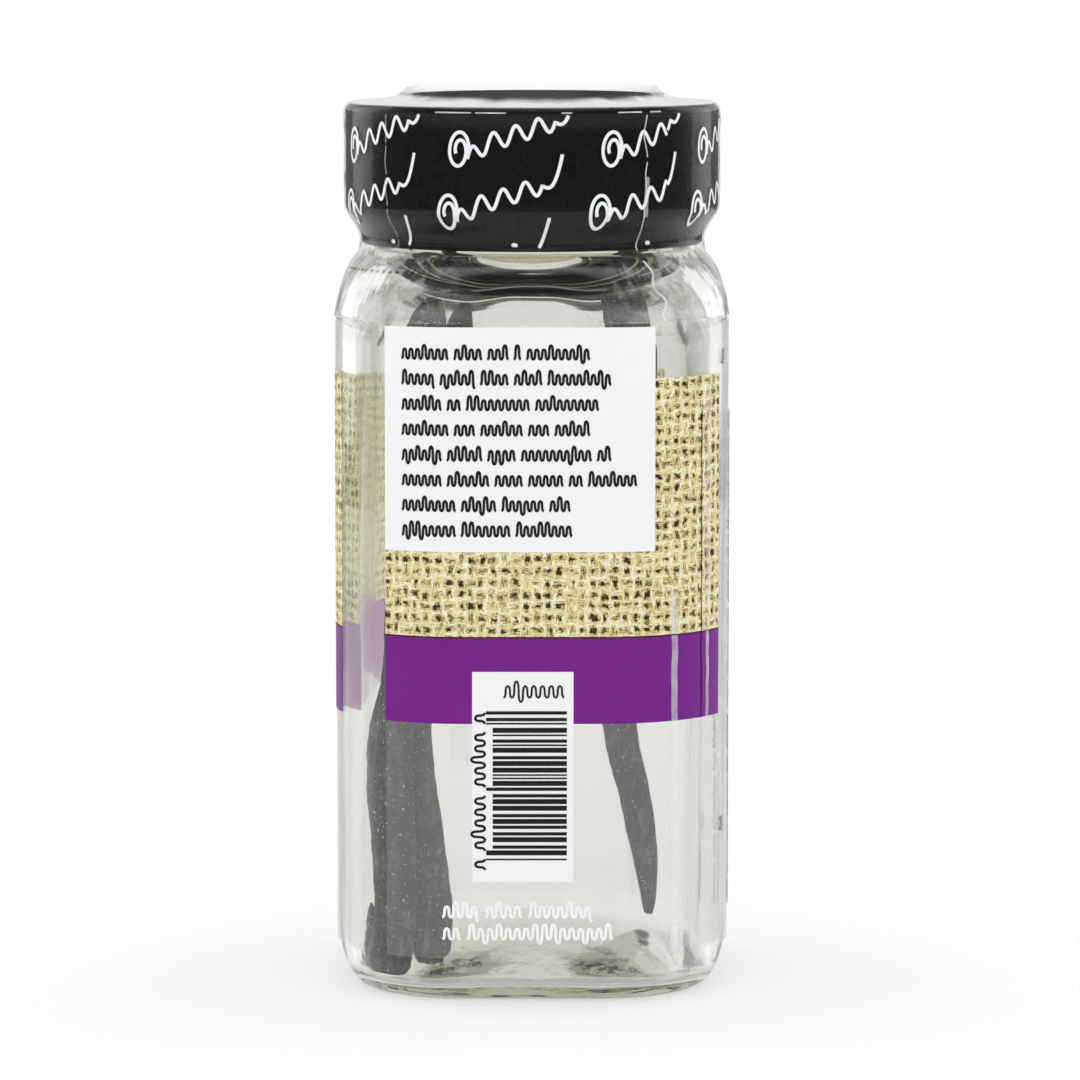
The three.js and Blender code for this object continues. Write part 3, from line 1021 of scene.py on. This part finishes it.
def build_band_print(material):
    """Every flourish as strips, cut at the foot of the cap, at its rim, and where the film's
    overlap hides the pattern."""
    shape = flourish()
    run, rise = math.cos(FLOURISH_RISE), math.sin(FLOURISH_RISE)
    per_degree = CAP_RADIUS * math.pi / 180
    parts = []
    for row in range(-1, 3):
        for column in range(-4, 4):
            start = FLOURISH_START + column * FLOURISH_TURN + row * FLOURISH_ROW_SHIFT
            strip = []
            for u, v in shape:
                leaned = u + 0.25 * v
                turn = start + (leaned * run - v * rise) / per_degree
                z = FLOURISH_FOOT - row * FLOURISH_ROW + leaned * rise + v * run
                hidden = OVERLAP_END < turn < OVERLAP_END + OVERLAP_HIDDEN
                past_end = turn > 180 + OVERLAP_HIDDEN
                if hidden or past_end or not CAP_BOTTOM + 0.5 < z < CAP_RIM - 0.75:
                    if len(strip) > 2:
                        parts.append(ribbon(strip, FLOURISH_STROKE, on_band))
                    strip = []
                    continue
                shown = turn - OVERLAP_HIDDEN if turn > OVERLAP_END else turn
                strip.append((shown * per_degree, z))
            if len(strip) > 2:
                parts.append(ribbon(strip, FLOURISH_STROKE, on_band))
    strips_piece("print_flourishes", parts, material)


# ---------------------------------------------------------------- folds in the films, with painted highlights and shade

SEAM_SHARE = 0.1  # of the way round from the middle of the text side
CREASE_SHARE = -0.137


def on_shrink(share, z, off=0.0):
    """A point on the shrink film at a share of the way round, all the way down it."""
    half, corner = across_at(band_rings(BAND_GAP + BAND_THICKNESS), z)
    return (*loop_point(share, half + 0.04 + off, corner + 0.04 + off), z)


def fold(name, place, start, end, across, sway, width, material, pieces=1, seed=0):
    """Upright line on a film from one height to another, that sways and may be broken."""
    parts = []
    for n in range(pieces):
        low, high = mix(start, end, n / pieces), mix(start, end, (n + 0.9) / pieces)
        path = []
        for i in range(41):
            z = mix(low, high, i / 40)
            path.append((across + sway * noise.noise(Vector((seed, z * 0.35, 0))), z))
        parts.append(ribbon(path, width, place))
    strips_piece(name, parts, material)


def build_folds_and_painted_light():
    # These tones draw real seams, creases and perforations, and also painted highlights and a
    # painted crease shade.
    light = veil_look("fold_and_painted_highlight", (0.8, 0.8, 0.81), 0.5)
    dark = veil_look("perforation_and_painted_shade", (0.02, 0.018, 0.016), 0.6)
    faint = veil_look("faint_fold_and_painted_highlight", (0.8, 0.8, 0.81), 0.28)
    round_mm = 2 * math.pi * CAP_RADIUS

    def shrink(along, z, off=0.0):
        return on_shrink(along / round_mm, z, off)

    seam, crease = SEAM_SHARE * round_mm, CREASE_SHARE * round_mm
    fold("film_seam", shrink, CAP_BOTTOM, CAP_RIM - 0.3, seam, 0.5, 0.16, light, 3, 1)
    fold("film_seam_lens", shrink, 91.8, 97.0, seam + 0.1, 0.2, 0.6, faint, 1, 2)
    fold("film_seam_low", shrink, BAND_END + 0.3, CAP_BOTTOM - 0.4, seam, 2.2, 0.3, light, 1, 3)
    fold("film_crease", shrink, 82.0, CAP_RIM - 0.5, crease, 0.5, 0.14, faint, 6, 4)
    # Painted highlight: a white streak down the label where the glass corner shows a glare.
    fold("label_painted_highlight_streak", on_label, LABEL_BOTTOM + 0.2, PANEL_BOTTOM, 17.0, 0.12, 0.85, faint, 1, 5)
    # Painted shade: a dark line where the label is creased.
    fold("label_crease_painted_shade", on_label, PURPLE_BOTTOM, WEAVE_TOP, 21.3, 0.12, 0.2, dark, 1, 6)
    # Painted highlight: broken white glints beside the crease.
    fold("label_painted_glints", on_label, PURPLE_BOTTOM, WEAVE_TOP, 22.5, 0.2, 0.6, faint, 3, 7)
    cuts = steps_between(-27.0, -13.0, step=1.1)
    cuts = [bar(way, way + 0.55, 85.3, 85.55, shrink) for way in cuts]
    strips_piece("film_perforation", cuts, dark)
    # Painted highlights: thin white strips along the front of the cap's rim.
    rim_highlight_strips = ((-11.6, -7.1), (-6.6, -3.0), (3.4, 4.6), (10.2, 13.4), (14.6, 16.2))
    rim_highlight_strips = [bar(start, end, 103.95, 104.1, on_band) for start, end in rim_highlight_strips]
    strips_piece("film_painted_rim_highlights", rim_highlight_strips, light)


def build_border(material):
    """Thin dark red line where the printed band meets the weave."""
    parts = []
    for start, end in ((LABEL_START, FRONT_PRINT_END), (BACK_PRINT_START, LABEL_END)):
        path = [(way, PURPLE_TOP + 0.02) for way in steps_between(start, end)]
        parts.append(ribbon(path, 0.18, on_label))
    strips_piece("print_border", parts, material)


# ---------------------------------------------------------------- pods

# How fast each relief of the skin varies round the pod and along it, and its share of the width
POD_RELIEF = ((2.6, 9, 0.1), (7, 26, 0.06), (11, 70, 0.05))


def pod_shape(way, width, depth, foot_taper, top_taper, swell, twist, seed):
    """One dried pod, in the frame of its curve, with lengthwise folds that run unevenly."""
    steps, sides = 220, 48
    curve = smooth_way(way, steps)
    points = []
    for s in range(steps + 1):
        share = s / steps
        centre = curve[s]
        along = (curve[min(s + 1, steps)] - curve[max(s - 1, 0)]).normalized()
        wide = Vector((1, 0, 0))
        wide = (wide - along * wide.dot(along)).normalized()
        deep = along.cross(wide)
        end = min(1, (share + 0.012) / foot_taper) ** 0.5
        end *= min(1, (1.012 - share) / top_taper) ** 0.6
        size = end * (1 + 0.07 * math.sin(share * swell) + 0.04 * math.sin(share * swell * 2.7 + 1))
        for i in range(sides):
            turn = i / sides * 2 * math.pi
            cos, sin = math.cos(turn), math.sin(turn)
            ridge = 1 + 0.07 * math.cos(3 * turn + share * twist)
            ridge += 0.04 * math.sin(5 * turn - share * twist)
            for around, up, amount in POD_RELIEF:
                wave = noise.noise(Vector((cos * around, sin * around, share * up + seed)))
                ridge += amount * wave * min(1, end)
            x = width / 2 * size * ridge * cos
            y = depth / 2 * size * ridge * sin
            points.append(tuple(centre + wide * x + deep * y))
    points += [tuple(curve[0]), tuple(curve[steps])]
    return points, tube_faces(steps + 1, sides)


def smooth_way(knots, steps):
    """Points on a smooth curve through the knots, evenly spaced by knot distance."""
    knots = [Vector(k) for k in knots]
    knots = [2 * knots[0] - knots[1], *knots, 2 * knots[-1] - knots[-2]]
    spans = [(b - a).length for a, b in zip(knots[1:-2], knots[2:-1])]
    total = sum(spans)
    curve = []
    for s in range(steps + 1):
        rest = s / steps * total
        span = 0
        while span < len(spans) - 1 and rest > spans[span]:
            rest -= spans[span]
            span += 1
        t = min(1.0, rest / spans[span])
        a, b, c, d = knots[span : span + 4]
        squared, cubed = 2 * a - 5 * b + 4 * c - d, 3 * b - a - 3 * c + d
        curve.append(0.5 * (2 * b + (c - a) * t + squared * t * t + cubed * t ** 3))
    return curve


PODS = {
    "pod_left": dict(
        way=[
            (-17, -12.8, 2.6), (-15.9, -13.4, 9), (-16, -13.3, 16), (-16.3, -12.8, 29),
            (-14.9, -11.6, 41), (-14.5, -9.6, 58), (-13.9, -7.6, 76), (-12.7, -6, 84.3),
        ],
        width=4.4, depth=3.6, foot_taper=0.03, top_taper=0.09, swell=9, twist=5, seed=1,
    ),
    "pod_middle": dict(
        way=[
            (-12.2, -12, 4), (-12, -10, 9.5), (-12.8, -9.5, 16), (-14, -8.4, 29), (-12.9, -7.3, 41),
            (-11.4, -5.2, 58), (-10.2, -2.4, 84.6),
        ],
        width=4.2, depth=3.2, foot_taper=0.025, top_taper=0.08, swell=11, twist=-6, seed=7,
    ),
    "pod_right": dict(
        way=[
            (14.7, 13.6, 4.7), (14.8, 13.2, 7.5), (14.3, 12.4, 12.5), (13, 11.6, 19.5),
            (11, 10.6, 27.6), (10.1, 8.4, 40), (12, 4.8, 57), (14, 1.4, 73), (13.2, 0.4, 80.5),
            (12.1, -0.3, 90),
        ],
        width=4.1, depth=3, foot_taper=0.14, top_taper=0.05, swell=8, twist=7, seed=13,
    ),
    "pod_tip": dict(
        way=[(-18.8, -9.1, 3), (-19, -9, 6.2), (-19.3, -8.6, 9.6)],
        width=2.2, depth=2.2, foot_taper=0.2, top_taper=0.8, swell=3, twist=2, seed=21,
    ),
}


def build_pods(material):
    for node, shape in PODS.items():
        points, faces = pod_shape(**shape)
        piece = new_piece(node + "_skin", points, faces, [material])
        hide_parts(node)


# ---------------------------------------------------------------- stage


def build_floor():
    """Round white table, lit a little from below, and less where glass is in front of it."""
    look = Look("floor_white")
    tone = look.ramp(look.noise(3.0, 2.0, look.place()), (0.3, 0.275), (0.7, 0.285))
    # The floor's glow lightens the shade round the jar. Where the floor is seen through glass the
    # glow is weaker, which is painted shade.
    in_glass = look.node("LightPath").outputs["Is Transmission Ray"]
    strength = look.maths("MULTIPLY_ADD", in_glass, -0.17, 0.56)
    glow = look.first("Emission", Color=(1, 1, 1, 1), Strength=strength)
    shader = look.first("AddShader", i0=look.first("BsdfDiffuse", Color=tone), i1=glow)
    mesh = bpy.data.meshes.new("floor")
    reach, sides = 0.55, 96
    turns = [i / sides * 2 * math.pi for i in range(sides)]
    rim = [(reach * math.cos(turn), reach * math.sin(turn), 0) for turn in turns]
    mesh.from_pydata(rim, [], [range(sides)])
    mesh.materials.append(look.surface(shader))
    floor = bpy.data.objects.new("floor", mesh)
    bpy.context.scene.collection.objects.link(floor)
    floor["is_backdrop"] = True


def soft_box(name, place, width, height, radiance):
    """Lamp that isn't seen itself, turned to the jar's middle."""
    aim = (0, 0, 0.06)
    lamp = bpy.data.lights.new(name, "AREA")
    lamp.shape = "RECTANGLE"
    lamp.size, lamp.size_y = width, height
    lamp.energy = radiance * math.pi * width * height
    holder = bpy.data.objects.new(name, lamp)
    holder.location = place
    holder.rotation_euler = (Vector(aim) - Vector(place)).to_track_quat("-Z", "Y").to_euler()
    holder.visible_camera = False
    holder.visible_transmission = False
    bpy.context.scene.collection.objects.link(holder)


def build_light():
    """White room. Things mirror it brightest low down and overhead, and dark past the table's
    edge and halfway up. Through glass it is seen brightest at the sides. Two tall soft boxes
    stand a little behind the jar's sides."""
    world = bpy.data.worlds.new("studio")
    world.use_nodes = True
    sky = Nodes(world.node_tree)
    away = sky.node("TexCoord").outputs["Generated"]
    across, _, up = sky.node("SeparateXYZ", Vector=away).outputs
    mirrored = sky.ramp(
        up, (0.0, 0.03), (0.03, 0.9), (0.3, 0.7), (0.5, 0.08), (0.85, 0.1), (0.95, 1.0)
    )
    seen_in_glass = sky.span(sky.maths("ABSOLUTE", across), 0.25, 0.8, 0.82, 1.15)
    lighting, seen = 1.55, 1.02
    ray = sky.node("LightPath").outputs
    through_glass = sky.pick(ray["Diffuse Depth"], seen_in_glass, lighting, "FLOAT")
    strength = sky.pick(ray["Is Diffuse Ray"], seen, lighting, "FLOAT")
    strength = sky.pick(ray["Is Glossy Ray"], strength, mirrored, "FLOAT")
    strength = sky.pick(ray["Is Transmission Ray"], strength, through_glass, "FLOAT")
    background = world.node_tree.nodes["Background"]
    background.inputs["Color"].default_value = (1, 1, 1, 1)
    world.node_tree.links.new(strength, background.inputs["Strength"])
    bpy.context.scene.world = world
    for side in (-1, 1):
        soft_box(f"soft_box_{side}", (0.5 * side, 0.38, 0.28), 0.34, 0.6, 1.3)


def build_camera():
    """Long lens a little above the cap, at the photograph's angle."""
    distance, height, aim_x, aim_z, frame_mm = 650.0, 125.5, 0.95, 52.1, 36.0
    camera = bpy.data.cameras.new("camera")
    camera.lens = frame_mm * 5444.0 / 1080.0
    camera.sensor_width = frame_mm
    camera.clip_end = 50
    holder = bpy.data.objects.new("camera", camera)
    place = Vector((0, -distance, height)) * MM
    aim = Vector((aim_x, 0, aim_z)) * MM
    holder.location = place
    holder.rotation_euler = (aim - place).to_track_quat("-Z", "Y").to_euler()
    bpy.context.scene.collection.objects.link(holder)
    bpy.context.scene.camera = holder


def set_view():
    scene = bpy.context.scene
    scene.view_settings.view_transform = "Standard"
    scene.cycles.max_bounces = 32
    scene.cycles.transmission_bounces = 32
    scene.cycles.transparent_max_bounces = 48
    scene.cycles.glossy_bounces = 12


def main():
    threads = (44, 34, 18), (164, 140, 84), (230, 215, 154), (255, 253, 236)
    threads_behind = (196, 190, 168), (222, 217, 196), (238, 234, 218), (244, 241, 228)
    looks = {
        # The clear film's white at a low angle (0.9) is a painted grazing reflection.
        "film": film_look("clear_film", (0.012, 0.9), (0.035, 0.15), 0.06),
        "white": print_look("label_white", (231, 232, 232), 0.4, 0.01, 0.15),
        "white_reverse": print_look("label_white_reverse", (240, 240, 238), 0.5, 0.02, 0.65),
        "weave": weave_look("label_weave", threads, 0.32, 0.45),
        # The weave and purple reverse prints glow: painted light in place of light that spreads
        # inside the thin white ink.
        "weave_reverse": weave_look("label_weave_reverse", threads_behind, 0.3, 0.8, 0.22),
        "purple": print_look("label_purple", (108, 14, 127), 0.4, 0.1, 0.25),
        "purple_reverse": print_look(
            "label_purple_reverse", (244, 222, 246), 0.5, 0.04, 0.45, 0.28
        ),
    }
    ink = print_look("label_ink", (38, 36, 38), 0.45, 0.1)
    build_jar(glass_look())
    build_cap(cap_look())
    build_band(band_look())
    build_band_print(print_look("band_white", (214, 216, 219), 0.4, 0.05, 0.0))
    build_label(looks)
    build_text(ink)
    build_barcode(ink)
    build_small_print(
        print_look("foot_white", (244, 245, 245), 0.5, 0.02, 0.3),
        print_look("side_grey", (120, 120, 122), 0.5, 0.05),
    )
    build_border(print_look("border_red", (96, 30, 44), 0.45, 0.1))
    build_folds_and_painted_light()
    build_pods(pod_look())
    build_floor()
    build_light()
    build_camera()
    set_view()
    boxes = {"cad": CAD_BOX, "visual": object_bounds()}
    {name: [list(corner) for corner in box] for name, box in boxes.items()}


main()
